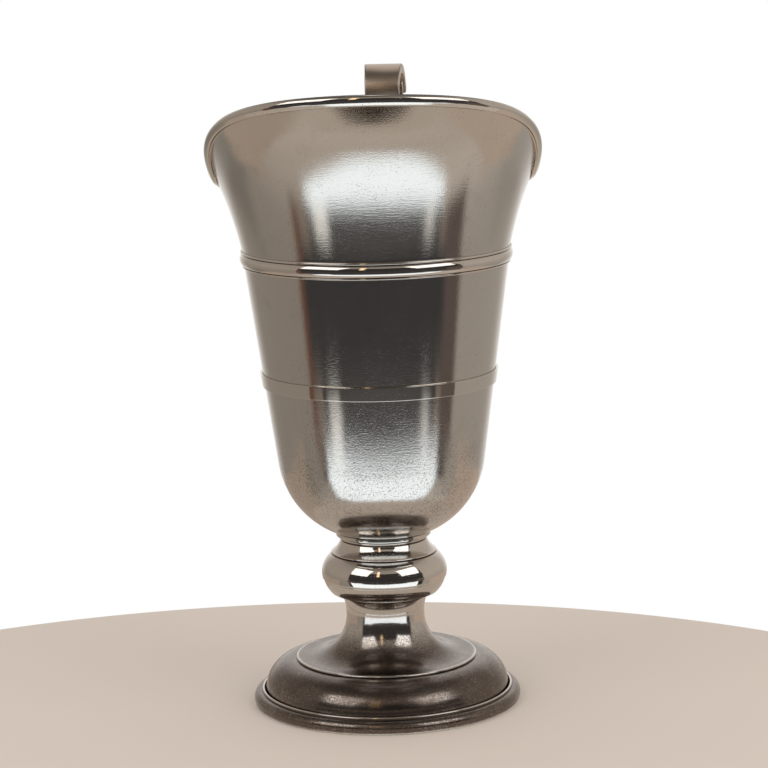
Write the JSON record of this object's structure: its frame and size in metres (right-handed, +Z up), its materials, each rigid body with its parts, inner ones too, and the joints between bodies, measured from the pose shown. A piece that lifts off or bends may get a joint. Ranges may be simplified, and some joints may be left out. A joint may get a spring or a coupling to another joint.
{
  "type": "communion ewer",
  "caption": "Footed pewter ewer with a saddle-cut pouring lip, a banded bowl, a knopped stem, a domed foot and a scroll strap handle, for pouring communion wine.",
  "frame": {"origin": "centre of the foot, on the surface that it stands on", "axes": "+Z up along the axis of the bowl and stem; -Y towards the pouring lip; +Y towards the handle; +X to the right of a viewer who faces the lip"},
  "size_m": [0.1272, 0.1686, 0.247],
  "materials": {
    "bowl_pewter": "satin pewter with fine turning lines and small pits",
    "bright_pewter": "polished pewter",
    "foot_pewter": "polished pewter, darkened with age and speckled",
    "handle_pewter": "cast pewter, dull and worn smooth"
  },
  "bodies": {
    "root": {"base_ring": "foot_pewter", "foot_dome": "foot_pewter", "lower_stem": "foot_pewter", "upper_stem": "bright_pewter", "bowl_cup": "bowl_pewter", "lower_band": "bright_pewter", "bowl_wall": "bowl_pewter", "upper_band": "bright_pewter", "bowl_lip": "bowl_pewter", "rim_moulding": "bright_pewter", "handle_strap": "handle_pewter", "handle_upper_bracket": "handle_pewter", "handle_lower_bracket": "handle_pewter"}
  },
  "joints": []
}
